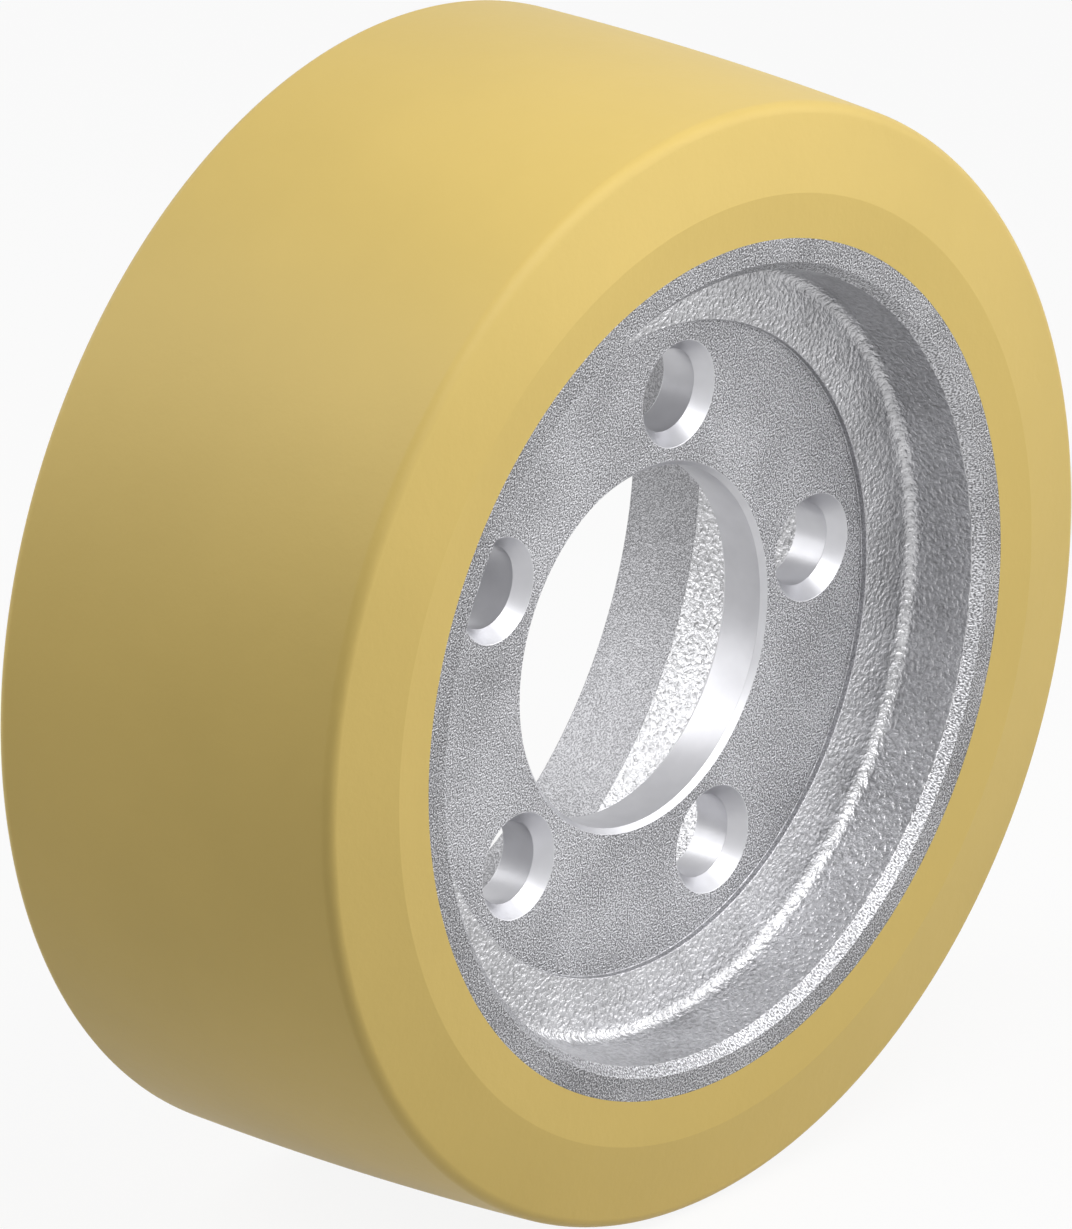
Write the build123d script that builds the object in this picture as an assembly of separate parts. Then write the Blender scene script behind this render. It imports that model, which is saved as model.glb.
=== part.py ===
from build123d import *
import os
from math import radians, tan

# Drive wheel: an iron casting, bored and drilled to bolt on a drive hub, with a tread moulded round it.
# The wheel's middle is the origin and its axle runs along Y. -Y is the outer side, which shows the seats
# of the wheel nuts, and +Y is the side that faces the drive. All sizes are in millimetres.

# Tread
TREAD_DIAMETER = 250.0
TREAD_THICKNESS = 30.0
TREAD_CROWN = 1.1  # how far the running surface falls from its middle to its shoulders
FLANK_BAND = 10.0  # flat ring of the flank that lies flush with the rim's face
SHOULDER_SET_BACK = 3.8  # how far the flank leans in from that ring to the running surface
SHOULDER_RADIUS = 3.0

# Rim
RIM_DIAMETER = TREAD_DIAMETER - 2 * TREAD_THICKNESS
RIM_WIDTH = 100.0
RIM_FACE = 5.2  # width of the ring that faces outwards
MOUTH_CHAMFER = 2.2
OUTER_DRAFT = 5.0  # degrees
OUTER_FILLET = 3.0

# Web
WEB_DEPTH = 20.0  # from the rim's outer face to the turned face of the web
WEB_THICKNESS = 12.0
SHELF_WIDTH = 13.8  # cast ring that is left round the turned face
SHELF_HEIGHT = 1.5
SHELF_DISH = 2.5  # degrees

# Drive side
REGISTER_WALL = 3.0  # rim wall that is left where the drive side is turned out
REGISTER_DEPTH = 20.0
REGISTER_STEP = 2.0
INNER_DRAFT = 3.0  # degrees
INNER_FILLET = 10.0

# Seat on the drive hub
BORE_DIAMETER = 80.0
BORE_CHAMFER = 1.15
STUD_COUNT = 5
STUD_CIRCLE = 112.0
FIRST_STUD_ANGLE = 78.0
STUD_HOLE_DIAMETER = 18.4
NUT_SEAT_DIAMETER = 23.8
NUT_SEAT_DEPTH = 3.5

# Worked out from the sizes above
RIM_RADIUS = RIM_DIAMETER / 2
BORE_RADIUS = BORE_DIAMETER / 2
OUTER_FACE = -RIM_WIDTH / 2
DRIVE_FACE = RIM_WIDTH / 2
WEB_FACE = OUTER_FACE + WEB_DEPTH
WEB_BACK = WEB_FACE + WEB_THICKNESS


def nearest(sketch, radius, y):
    """The sketch's corner at this radius and height along the axle."""
    return sketch.vertices().sort_by_distance((radius, y, 0))[0]


def wheel_section():
    """Half section of the casting, with its radii along X and the axle along Y."""
    mouth = RIM_RADIUS - RIM_FACE
    wall_top = mouth - MOUTH_CHAMFER
    shelf_drop = WEB_DEPTH - SHELF_HEIGHT
    wall_foot = wall_top - (shelf_drop - MOUTH_CHAMFER) * tan(radians(OUTER_DRAFT))
    land = wall_foot - SHELF_WIDTH
    shelf_inner = OUTER_FACE + shelf_drop
    shelf_outer = shelf_inner - SHELF_WIDTH * tan(radians(SHELF_DISH))

    register = RIM_RADIUS - REGISTER_WALL
    step = DRIVE_FACE - REGISTER_DEPTH
    back_wall = register - REGISTER_STEP
    back_foot = back_wall - (step - WEB_BACK) * tan(radians(INNER_DRAFT))

    with BuildSketch() as section:
        with BuildLine():
            Polyline(
                (RIM_RADIUS, OUTER_FACE),
                (mouth, OUTER_FACE),
                (wall_top, OUTER_FACE + MOUTH_CHAMFER),
                (wall_foot, shelf_outer),
                (land, shelf_inner),
                (land, WEB_FACE),
                (BORE_RADIUS + BORE_CHAMFER, WEB_FACE),
                (BORE_RADIUS, WEB_FACE + BORE_CHAMFER),
                (BORE_RADIUS, WEB_BACK - BORE_CHAMFER),
                (BORE_RADIUS + BORE_CHAMFER, WEB_BACK),
                (back_foot, WEB_BACK),
                (back_wall, step),
                (register, step),
                (register, DRIVE_FACE),
                (RIM_RADIUS, DRIVE_FACE),
                close=True,
            )
        make_face()
        fillet(nearest(section, wall_foot, shelf_outer), OUTER_FILLET)
        fillet(nearest(section, back_foot, WEB_BACK), INNER_FILLET)
    return section.sketch


def stud_hole():
    """What is drilled away for one stud: its mouth is the origin and it goes in along -Z."""
    hole = STUD_HOLE_DIAMETER / 2
    seat = NUT_SEAT_DIAMETER / 2
    with BuildPart() as cut:
        with BuildSketch(Plane.XZ):
            with BuildLine():
                Polyline(
                    (0, WEB_DEPTH),
                    (seat, WEB_DEPTH),
                    (seat, 0),
                    (hole, -NUT_SEAT_DEPTH),
                    (hole, -2 * WEB_THICKNESS),
                    (0, -2 * WEB_THICKNESS),
                    close=True,
                )
            make_face()
        revolve(axis=Axis.Z)
    return cut.part


def make_wheel_centre():
    """The casting, with its bore and the stud holes with their seats."""
    outer_side = Plane(origin=(0, WEB_FACE, 0), x_dir=(1, 0, 0), z_dir=(0, -1, 0))
    with BuildPart() as casting:
        add(wheel_section())
        revolve(axis=Axis.Y)
        with Locations(outer_side):
            with PolarLocations(STUD_CIRCLE / 2, STUD_COUNT, start_angle=FIRST_STUD_ANGLE):
                add(stud_hole(), mode=Mode.SUBTRACT)
    return casting.part


def make_tread():
    """The tread: a crowned ring with leaning flanks, as wide as the rim that it is moulded on."""
    band = RIM_RADIUS + FLANK_BAND
    middle = TREAD_DIAMETER / 2
    shoulder = middle - TREAD_CROWN
    outer_shoulder = OUTER_FACE + SHOULDER_SET_BACK
    drive_shoulder = DRIVE_FACE - SHOULDER_SET_BACK
    with BuildPart() as tread:
        with BuildSketch() as section:
            with BuildLine():
                ThreePointArc((shoulder, outer_shoulder), (middle, 0), (shoulder, drive_shoulder))
                Polyline(
                    (shoulder, drive_shoulder),
                    (band, DRIVE_FACE),
                    (RIM_RADIUS, DRIVE_FACE),
                    (RIM_RADIUS, OUTER_FACE),
                    (band, OUTER_FACE),
                    (shoulder, outer_shoulder),
                )
            make_face()
            fillet(nearest(section, shoulder, outer_shoulder), SHOULDER_RADIUS)
            fillet(nearest(section, shoulder, drive_shoulder), SHOULDER_RADIUS)
        revolve(axis=Axis.Y)
    return tread.part


os.makedirs("parts", exist_ok=True)
for name, solid in {"wheel_centre": make_wheel_centre(), "tread": make_tread()}.items():
    export_step(solid, f"parts/{name}.step")
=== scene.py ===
from math import atan2, cos, pi, radians, sin, tan

import bpy
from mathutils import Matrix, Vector
from mathutils.geometry import delaunay_2d_cdt


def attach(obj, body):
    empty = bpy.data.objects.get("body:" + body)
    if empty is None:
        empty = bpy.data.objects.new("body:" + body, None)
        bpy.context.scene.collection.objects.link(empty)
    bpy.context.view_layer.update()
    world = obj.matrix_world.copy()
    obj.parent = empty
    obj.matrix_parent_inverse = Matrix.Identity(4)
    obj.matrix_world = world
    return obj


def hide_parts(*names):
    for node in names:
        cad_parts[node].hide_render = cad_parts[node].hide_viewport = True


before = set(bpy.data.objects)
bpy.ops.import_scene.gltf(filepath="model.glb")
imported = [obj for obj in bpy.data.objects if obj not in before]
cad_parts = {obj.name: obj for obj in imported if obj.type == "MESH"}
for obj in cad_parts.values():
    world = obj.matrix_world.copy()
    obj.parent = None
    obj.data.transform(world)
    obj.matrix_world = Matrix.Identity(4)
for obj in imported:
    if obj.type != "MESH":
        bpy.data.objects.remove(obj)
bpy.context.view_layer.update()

MM = 0.001
TURN = 2 * pi
TINY = 1e-6

# The same sizes as in the solids, in millimetres and degrees
TREAD_R = 125.0
CROWN = 1.1
BAND_R = 105.0
SET_BACK = 3.8
SHOULDER_R = 3.0
RIM_R = 95.0
HALF_WIDTH = 50.0
MOUTH_R = 89.8
MOUTH_CHAMFER = 2.2
OUTER_DRAFT = 5.0
OUTER_FILLET = 3.0
WEB_FACE = -30.0
WEB_BACK = -18.0
SHELF_WIDTH = 13.8
SHELF_HEIGHT = 1.5
SHELF_DISH = 2.5
REGISTER_R = 92.0
REGISTER_STEP = 2.0
REGISTER_Y = 30.0
INNER_DRAFT = 3.0
INNER_FILLET = 10.0
BORE_R = 40.0
BORE_CHAMFER = 1.15
STUD_COUNT = 5
STUD_CIRCLE_R = 56.0
FIRST_STUD_ANGLE = 78.0
STUD_R = 9.2
SEAT_R = 11.9
SEAT_DEPTH = 3.5

# What the dressed wheel has beyond them: the rim's outer face falls towards the tread, and the
# edges are broken, with these radii
RIM_FALL = 0.2
SHARP_EDGE = 0.05
FINE_EDGE = 0.1
FACE_EDGE = 0.2
RIM_EDGE = 0.25
STEP_EDGE = 0.3
WALL_EDGE = 0.5
BAND_EDGE = 0.6

# How finely curves are cut up
SEGMENTS = 300
STUD_SEGMENTS = 72
CROWN_STEPS = 32
CORNER_STEP = 9  # degrees
WELD_DIGITS = 5
JUST_INSIDE = 0.9999


# Turned shapes

class Shell:
    """A mesh under construction: welded points with their own normals, and faces with a finish."""

    def __init__(self):
        self.index = {}
        self.points = []
        self.normals = []
        self.faces = []
        self.finishes = []

    def point(self, p, n):
        key = tuple(round(v, WELD_DIGITS) for v in p)
        if key not in self.index:
            self.index[key] = len(self.points)
            self.points.append([v * MM for v in p])
            self.normals.append(n)
        return self.index[key]

    def face(self, corners, finish):
        """Add a face, unless welding has closed it up."""
        if len(set(corners)) == len(corners):
            self.faces.append(corners)
            self.finishes.append(finish)

    def build(self, name, materials):
        mesh = bpy.data.meshes.new(name)
        mesh.from_pydata(self.points, [], self.faces)
        for m in materials:
            mesh.materials.append(m)
        mesh.polygons.foreach_set("material_index", self.finishes)
        mesh.shade_smooth()
        mesh.normals_split_custom_set_from_vertices(self.normals)
        obj = bpy.data.objects.new(name, mesh)
        bpy.context.scene.collection.objects.link(obj)
        return obj


def stations(corners, closed):
    """Points along a profile with its corners rounded.

    A corner is (radius, y, rounding, finish of the run that starts there), and a point is (radius,
    y, normal radius, normal y, finish). The material lies on the right of the way that the profile
    runs.
    """
    out = []
    count = len(corners)
    for i, (r, y, rounding, finish) in enumerate(corners):
        before = corners[i - 1] if closed or i else None
        after = corners[(i + 1) % count] if closed or i < count - 1 else None
        ways = []
        for other, sign in ((before, 1), (after, -1)):
            if other is None:
                ways.append(None)
                continue
            way = Vector((r - other[0], y - other[1])) * sign
            ways.append(way.normalized())
        first, last = ways[0] or ways[1], ways[1] or ways[0]
        turn = atan2(first.x * last.y - first.y * last.x, first.dot(last))
        steps = max(1, round(abs(turn) / radians(CORNER_STEP)))
        reach = rounding * tan(abs(turn) / 2)
        start = Vector((r, y)) - first * reach
        side = 1 if turn > 0 else -1
        bend = corners[i - 1][3] if finish is None else finish  # the corner's own finish
        centre = start + Vector((-first.y, first.x)) * rounding * side
        for k in range(steps + 1):
            a = turn * k / steps
            way = Vector((first.x * cos(a) - first.y * sin(a), first.x * sin(a) + first.y * cos(a)))
            normal = Vector((-way.y, way.x))
            at = centre - normal * rounding * side if rounding else Vector((r, y))
            out.append((at.x, at.y, normal.x, normal.y, bend if k < steps else finish))
            if abs(turn) < TINY:
                break
    return out


def turned(shell, profile, closed, segments=SEGMENTS, centre=(0.0, 0.0), start=0.0):
    """Spin a profile round an axis along Y through centre (x, z).

    A finish of None leaves a run open.
    """
    rings = []
    for r, y, nr, ny, _ in profile:
        ring = []
        for k in range(segments):
            a = start + TURN * k / segments
            p = (centre[0] + r * cos(a), y, centre[1] + r * sin(a))
            ring.append(shell.point(p, (nr * cos(a), ny, nr * sin(a))))
        rings.append(ring)
    last = len(rings) if closed else len(rings) - 1
    for i in range(last):
        finish = profile[i][4]
        if finish is None:
            continue
        a, b = rings[i], rings[(i + 1) % len(rings)]
        for k in range(segments):
            j = (k + 1) % segments
            shell.face((a[k], a[j], b[j], b[k]), finish)
    return rings


def middle_of(points):
    return sum(points, Vector((0.0, 0.0))) / len(points)


def flat_ring(shell, outlines, normal_y, finish):
    """A flat face across the axle, with holes.

    Outlines are rings of points, the outermost first, then those of the holes.
    """
    flat = []
    edges = []
    holes = []
    for ring in outlines:
        base = len(flat)
        points = [Vector((shell.points[v][0], shell.points[v][2])) for v in ring]
        flat += points
        edges += [(base + k, base + (k + 1) % len(ring)) for k in range(len(ring))]
        if base:
            middle = middle_of(points)
            holes.append((middle, max((p - middle).length for p in points)))
    index = [v for ring in outlines for v in ring]
    _, _, faces, came_from, _, _ = delaunay_2d_cdt(flat, edges, [], 0, 1e-9)
    outer = max(p.length for p in flat)
    for corners in faces:
        points = [flat[came_from[v][0]] for v in corners]
        middle = middle_of(points)
        in_hole = any((middle - centre).length < r * JUST_INSIDE for centre, r in holes)
        if middle.length > outer or in_hole:
            continue
        v = [index[came_from[c][0]] for c in corners]
        area = sum(p.x * q.y - q.x * p.y for p, q in zip(points, points[1:] + points[:1]))
        if (area > 0) == (normal_y > 0):
            v.reverse()
        shell.face(tuple(v), finish)


# Materials

def new_material(name):
    m = bpy.data.materials.new(name)
    m.use_nodes = True
    return m, m.node_tree.nodes, m.node_tree.links, m.node_tree.nodes["Principled BSDF"]


def math_node(nodes, links, operation, *values):
    n = nodes.new("ShaderNodeMath")
    n.operation = operation
    for socket, value in zip(n.inputs, values):
        if isinstance(value, (int, float)):
            socket.default_value = value
        else:
            links.new(value, socket)
    return n.outputs[0]


def noise(nodes, links, where, scale, detail, roughness=0.5):
    n = nodes.new("ShaderNodeTexNoise")
    n.inputs["Scale"].default_value = scale
    n.inputs["Detail"].default_value = detail
    n.inputs["Roughness"].default_value = roughness
    links.new(where, n.inputs["Vector"])
    return n.outputs["Fac"]


def ramp(nodes, links, value, stops):
    n = nodes.new("ShaderNodeValToRGB")
    e = n.color_ramp.elements
    while len(e) < len(stops):
        e.new(0.5)
    for element, (at, colour) in zip(e, stops):
        element.position = at
        element.color = (*colour, 1.0)
    links.new(value, n.inputs["Fac"])
    return n.outputs["Color"]


def bump(nodes, links, height, distance):
    n = nodes.new("ShaderNodeBump")
    n.inputs["Distance"].default_value = distance
    links.new(height, n.inputs["Height"])
    return n.outputs["Normal"]


def in_place(nodes):
    return nodes.new("ShaderNodeTexCoord").outputs["Object"]


def stretched(nodes, links, where, factors):
    n = nodes.new("ShaderNodeMapping")
    n.inputs["Scale"].default_value = factors
    links.new(where, n.inputs["Vector"])
    return n.outputs["Vector"]


def sees_background(nodes, links):
    """1 for rays that show the background as it is: the camera's, and those of gloss and glass."""
    path = nodes.new("ShaderNodeLightPath").outputs
    seen = math_node(nodes, links, "MAXIMUM", path["Is Camera Ray"], path["Is Glossy Ray"])
    return math_node(nodes, links, "MAXIMUM", seen, path["Is Transmission Ray"])


def mixed(nodes, links, first, second):
    """Two shaders mixed: the mix node's factor, which is still to be set, and its shader."""
    n = nodes.new("ShaderNodeMixShader")
    links.new(first, n.inputs[1])
    links.new(second, n.inputs[2])
    return n.inputs["Fac"], n.outputs[0]


# Noise scales, in cells a metre. The flat faces of the casting lie where y times GRAIN is whole,
# which is where the noise is finest. Depths of bumps are in metres.
GRAIN = 2500.0
GRAIN_CLOUD = 55.0
GRAIN_CLOUD_SHARE = 0.14
GRAIN_STOPS = (0.37, 0.56, 0.68)
LUMPS = 950.0
LUMP_CLOUD = 80.0
LUMP_CLOUD_SHARE = 0.4
LUMP_DEPTH = 0.0006
TOOL_RINGS = 4200.0
TOOL_RING_STRETCH = (0.02, 1.0, 0.02)
TOOL_RING_DEPTH = 0.000004
BORE_HAZE = 160.0
TREAD_CLOUD = 18.0
TREAD_SKIN = 260.0
TREAD_SKIN_DEPTH = 0.00009


def blasted_iron(name, tones, depth, along=1.0, roughness=0.42):
    """Turned faces: fine, sparkling grain, with lumps under half a millimetre across.

    With along at 0 the grain doesn't change along the axle, so that a leaning face is as fine as a
    flat one.
    """
    m, nodes, links, shader = new_material(name)
    shader.inputs["Metallic"].default_value = 1.0
    shader.inputs["Roughness"].default_value = roughness
    where = stretched(nodes, links, in_place(nodes), (1.0, along, 1.0))
    grain = noise(nodes, links, where, GRAIN, detail=1.0)
    cloud = noise(nodes, links, where, GRAIN_CLOUD, detail=1.0)
    tone = math_node(nodes, links, "MULTIPLY_ADD", cloud, GRAIN_CLOUD_SHARE, grain)
    links.new(ramp(nodes, links, tone, [
        (at, (grey, grey, grey * 1.04)) for at, grey in zip(GRAIN_STOPS, tones)
    ]), shader.inputs["Base Color"])
    links.new(bump(nodes, links, grain, depth), shader.inputs["Normal"])
    return m


def cast_iron():
    """Rough cast walls: an orange-peel skin, glossier than the turned faces.

    Its lumps are about a millimetre across.
    """
    m, nodes, links, shader = new_material("cast_iron")
    shader.inputs["Metallic"].default_value = 1.0
    shader.inputs["Roughness"].default_value = 0.28
    where = in_place(nodes)
    lumps = noise(nodes, links, where, LUMPS, detail=2.0, roughness=0.55)
    cloud = noise(nodes, links, where, LUMP_CLOUD, detail=1.0)
    tone = math_node(nodes, links, "MULTIPLY_ADD", cloud, LUMP_CLOUD_SHARE, lumps)
    links.new(ramp(nodes, links, tone, [
        (0.50, (0.38, 0.38, 0.39)),
        (0.70, (0.50, 0.50, 0.515)),
        (0.90, (0.61, 0.61, 0.625)),
    ]), shader.inputs["Base Color"])
    links.new(bump(nodes, links, lumps, LUMP_DEPTH), shader.inputs["Normal"])
    return m


def machined_iron():
    """Bored and drilled walls: bright, with faint rings left by the tool."""
    m, nodes, links, shader = new_material("machined_iron")
    shader.inputs["Metallic"].default_value = 0.9
    shader.inputs["Roughness"].default_value = 0.38
    where = in_place(nodes)
    round_the_axle = stretched(nodes, links, where, TOOL_RING_STRETCH)
    rings = noise(nodes, links, round_the_axle, TOOL_RINGS, detail=1.0)
    haze = noise(nodes, links, where, BORE_HAZE, detail=2.0)
    links.new(ramp(nodes, links, haze, [
        (0.30, (0.58, 0.58, 0.605)),
        (0.70, (0.63, 0.63, 0.655)),
    ]), shader.inputs["Base Color"])
    links.new(bump(nodes, links, rings, TOOL_RING_DEPTH), shader.inputs["Normal"])
    return m


def polyurethane():
    """Moulded tread: honey yellow, satin, with the faint unevenness of a cast elastomer."""
    m, nodes, links, shader = new_material("polyurethane")
    shader.inputs["Specular IOR Level"].default_value = 0.3
    shader.inputs["Roughness"].default_value = 0.46
    where = in_place(nodes)
    cloud = noise(nodes, links, where, TREAD_CLOUD, detail=3.0)
    skin = noise(nodes, links, where, TREAD_SKIN, detail=3.0, roughness=0.6)
    links.new(ramp(nodes, links, cloud, [
        (0.30, (0.686, 0.505, 0.149)),
        (0.50, (0.708, 0.522, 0.155)),
        (0.70, (0.730, 0.538, 0.161)),
    ]), shader.inputs["Base Color"])
    links.new(bump(nodes, links, skin, TREAD_SKIN_DEPTH), shader.inputs["Normal"])
    return m


# The casting. A corner with no finish starts a run that stays open: the two flat faces are cut
# round the stud holes and laid in afterwards.
CAST, FACE, BORED, RIM, REGISTER, CHAMFER, STEP = range(7)
rim_front = -HALF_WIDTH + RIM_FALL
wall_top = MOUTH_R - MOUTH_CHAMFER
shelf_depth = -HALF_WIDTH - WEB_FACE + SHELF_HEIGHT
wall_foot = wall_top + (shelf_depth + MOUTH_CHAMFER) * tan(radians(OUTER_DRAFT))
land = wall_foot - SHELF_WIDTH
shelf_y = WEB_FACE - SHELF_HEIGHT
back_wall = REGISTER_R - REGISTER_STEP
back_foot = back_wall - (REGISTER_Y - WEB_BACK) * tan(radians(INNER_DRAFT))

casting = Shell()
profile = stations([
    (RIM_R, rim_front, SHARP_EDGE, RIM),
    (MOUTH_R, -HALF_WIDTH, RIM_EDGE, CHAMFER),
    (wall_top, -HALF_WIDTH + MOUTH_CHAMFER, WALL_EDGE, CAST),
    (wall_foot, shelf_y - SHELF_WIDTH * tan(radians(SHELF_DISH)), OUTER_FILLET, CAST),
    (land, shelf_y, STEP_EDGE, STEP),
    (land, WEB_FACE, FACE_EDGE, None),
    (BORE_R + BORE_CHAMFER, WEB_FACE, FINE_EDGE, BORED),
    (BORE_R, WEB_FACE + BORE_CHAMFER, FINE_EDGE, BORED),
    (BORE_R, WEB_BACK - BORE_CHAMFER, FINE_EDGE, BORED),
    (BORE_R + BORE_CHAMFER, WEB_BACK, FINE_EDGE, None),
    (back_foot, WEB_BACK, INNER_FILLET, CAST),
    (back_wall, REGISTER_Y, STEP_EDGE, CAST),
    (REGISTER_R, REGISTER_Y, STEP_EDGE, REGISTER),
    (REGISTER_R, HALF_WIDTH, RIM_EDGE, REGISTER),
    (RIM_R, HALF_WIDTH, FINE_EDGE, FACE),
], True)
rings = turned(casting, profile, True)

# The first and last corner only give the way in which the profile arrives and leaves
RUN_IN = 1.0
stud = stations([
    (SEAT_R + RUN_IN, WEB_FACE, 0.0, None),
    (SEAT_R, WEB_FACE, FACE_EDGE, BORED),
    (STUD_R, WEB_FACE + SEAT_DEPTH, FACE_EDGE, BORED),
    (STUD_R, WEB_BACK, FACE_EDGE, None),
    (STUD_R + RUN_IN, WEB_BACK, 0.0, None),
], False)[1:-1]
front_holes, back_holes = [], []
for k in range(STUD_COUNT):
    a = radians(FIRST_STUD_ANGLE + 360 / STUD_COUNT * k)
    centre = (STUD_CIRCLE_R * cos(a), STUD_CIRCLE_R * sin(a))
    hole = turned(casting, stud, False, STUD_SEGMENTS, centre, a)
    front_holes.append(hole[0])
    back_holes.append(hole[-1])

for y, normal_y, holes in ((WEB_FACE, -1, front_holes), (WEB_BACK, 1, back_holes)):
    bounding = [(p[0], ring) for p, ring in zip(profile, rings) if abs(p[1] - y) < TINY]
    (_, inner), (_, outer) = sorted(bounding)
    flat_ring(casting, [outer, inner] + holes, normal_y, FACE)

iron = [
    cast_iron(),
    blasted_iron("web_face_iron", (0.12, 0.325, 0.66), depth=0.0004),
    machined_iron(),
    blasted_iron("rim_face_iron", (0.075, 0.24, 0.54), depth=0.0004, along=0.0),
    blasted_iron("register_iron", (0.20, 0.285, 0.41), depth=0.0002),
    blasted_iron(
        "mouth_chamfer_iron", (0.12, 0.34, 0.68), depth=0.0003, along=0.0, roughness=0.34
    ),
    blasted_iron("web_step_iron", (0.26, 0.39, 0.54), depth=0.0002, roughness=0.31),
]
centre_obj = casting.build("wheel_centre_turned", iron)
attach(centre_obj, "root")
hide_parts("wheel_centre")

# The tread
tread = Shell()
shoulder = TREAD_R - CROWN
outer_y = -HALF_WIDTH + SET_BACK
arc_r = (outer_y ** 2 + CROWN ** 2) / (2 * CROWN)
crown = []
for k in range(1, CROWN_STEPS):
    y = 2 * outer_y * k / CROWN_STEPS - outer_y
    crown.append((TREAD_R - arc_r + (arc_r ** 2 - y ** 2) ** 0.5, y, 0.0, 0))
tread_profile = stations([
    (RIM_R, HALF_WIDTH, 0.0, 0),
    (BAND_R, HALF_WIDTH, BAND_EDGE, 0),
    (shoulder, -outer_y, SHOULDER_R, 0),
    *crown,
    (shoulder, outer_y, SHOULDER_R, 0),
    (BAND_R, -HALF_WIDTH, BAND_EDGE, 0),
    (RIM_R, rim_front, 0.0, 0),
], False)
turned(tread, tread_profile, False)
tread_obj = tread.build("tread_moulded", [polyurethane()])
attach(tread_obj, "root")
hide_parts("tread")

# Floor: it looks white, keeps a faint shadow, and lights the wheel as a mid grey
FLOOR = 4.0
FLOOR_GREY = 0.6
FLOOR_WHITE = 0.95
FLOOR_GLOW = 0.9
WHITE = (1.0, 1.0, 1.0, 1.0)
floor_mesh = bpy.data.meshes.new("floor")
square = ((-1, -1), (1, -1), (1, 1), (-1, 1))
floor_mesh.from_pydata([(FLOOR * x, FLOOR * y, 0) for x, y in square], [], [(0, 1, 2, 3)])
floor = bpy.data.objects.new("floor", floor_mesh)
floor.location.z = -TREAD_R * MM
bpy.context.scene.collection.objects.link(floor)
m, nodes, links, shader = new_material("floor")
shader.inputs["Base Color"].default_value = (FLOOR_GREY, FLOOR_GREY, FLOOR_GREY, 1.0)
shader.inputs["Roughness"].default_value = 0.9
pale = nodes.new("ShaderNodeBsdfDiffuse")
pale.inputs["Color"].default_value = (FLOOR_WHITE, FLOOR_WHITE, FLOOR_WHITE, 1.0)
glow = nodes.new("ShaderNodeEmission")
glow.inputs["Color"].default_value = WHITE
share, seen = mixed(nodes, links, pale.outputs[0], glow.outputs[0])
share.default_value = FLOOR_GLOW
share, surface = mixed(nodes, links, shader.outputs[0], seen)
links.new(sees_background(nodes, links), share)
links.new(surface, nodes["Material Output"].inputs["Surface"])
floor_mesh.materials.append(m)

# World: it looks white, and lights the wheel a little
WORLD_STRENGTH = 0.06
world = bpy.data.worlds.new("studio")
bpy.context.scene.world = world
world.use_nodes = True
nodes, links = world.node_tree.nodes, world.node_tree.links
soft = nodes["Background"]
soft.inputs["Color"].default_value = WHITE
soft.inputs["Strength"].default_value = WORLD_STRENGTH
bright = nodes.new("ShaderNodeBackground")
bright.inputs["Color"].default_value = WHITE
share, surface = mixed(nodes, links, soft.outputs[0], bright.outputs[0])
links.new(sees_background(nodes, links), share)
links.new(surface, nodes["World Output"].inputs["Surface"])


# Lamps, with distances and sizes in metres and power in watts

def direction(azimuth, elevation):
    """Where something stands that is seen that many degrees round from the front (-Y) and up."""
    a, e = radians(azimuth), radians(elevation)
    return Vector((sin(a) * cos(e), -cos(a) * cos(e), sin(e)))


def lamp(name, way, distance, size, power):
    """A soft square lamp, that far out that way, aimed at the wheel."""
    data = bpy.data.lights.new(name, "AREA")
    data.shape = "SQUARE"
    data.size = size
    data.energy = power
    obj = bpy.data.objects.new(name, data)
    obj.location = way * distance
    obj.rotation_euler = way.to_track_quat("Z", "Y").to_euler()
    bpy.context.scene.collection.objects.link(obj)


FAR = 1.6
NEAR = 0.55
lamp("key", direction(45, 20), FAR, size=1.5, power=12.9)
lamp("back_left", direction(225, 50), FAR, size=0.9, power=7.5)
lamp("back_left_low", direction(225, 20), FAR, size=0.9, power=3.3)
lamp("back", direction(180, 20), FAR, size=0.9, power=3.3)
lamp("near_top", direction(0, 65), NEAR, size=0.35, power=1.2)
lamp("near_front", direction(350, 35), NEAR, size=0.35, power=0.7)

# Camera: a parallel view, placed so that the wheel fills the picture as in the photo
CAMERA_AZIMUTH = -50
CAMERA_ELEVATION = 22
CAMERA_DISTANCE = 1.5
PICTURE_HEIGHT = 0.26233
TO_THE_RIGHT = 0.00002
DOWN = 0.00016
CLIP = (0.01, 20)
back = direction(CAMERA_AZIMUTH, CAMERA_ELEVATION)
right = Vector((cos(radians(CAMERA_AZIMUTH)), sin(radians(CAMERA_AZIMUTH)), 0))
up = back.cross(right)
lens = bpy.data.cameras.new("camera")
lens.type = "ORTHO"
lens.ortho_scale = PICTURE_HEIGHT
lens.clip_start, lens.clip_end = CLIP
camera = bpy.data.objects.new("camera", lens)
camera.location = back * CAMERA_DISTANCE + right * TO_THE_RIGHT - up * DOWN
camera.rotation_euler = back.to_track_quat("Z", "Y").to_euler()
bpy.context.scene.collection.objects.link(camera)
bpy.context.scene.camera = camera
bpy.context.scene.view_settings.view_transform = "Standard"
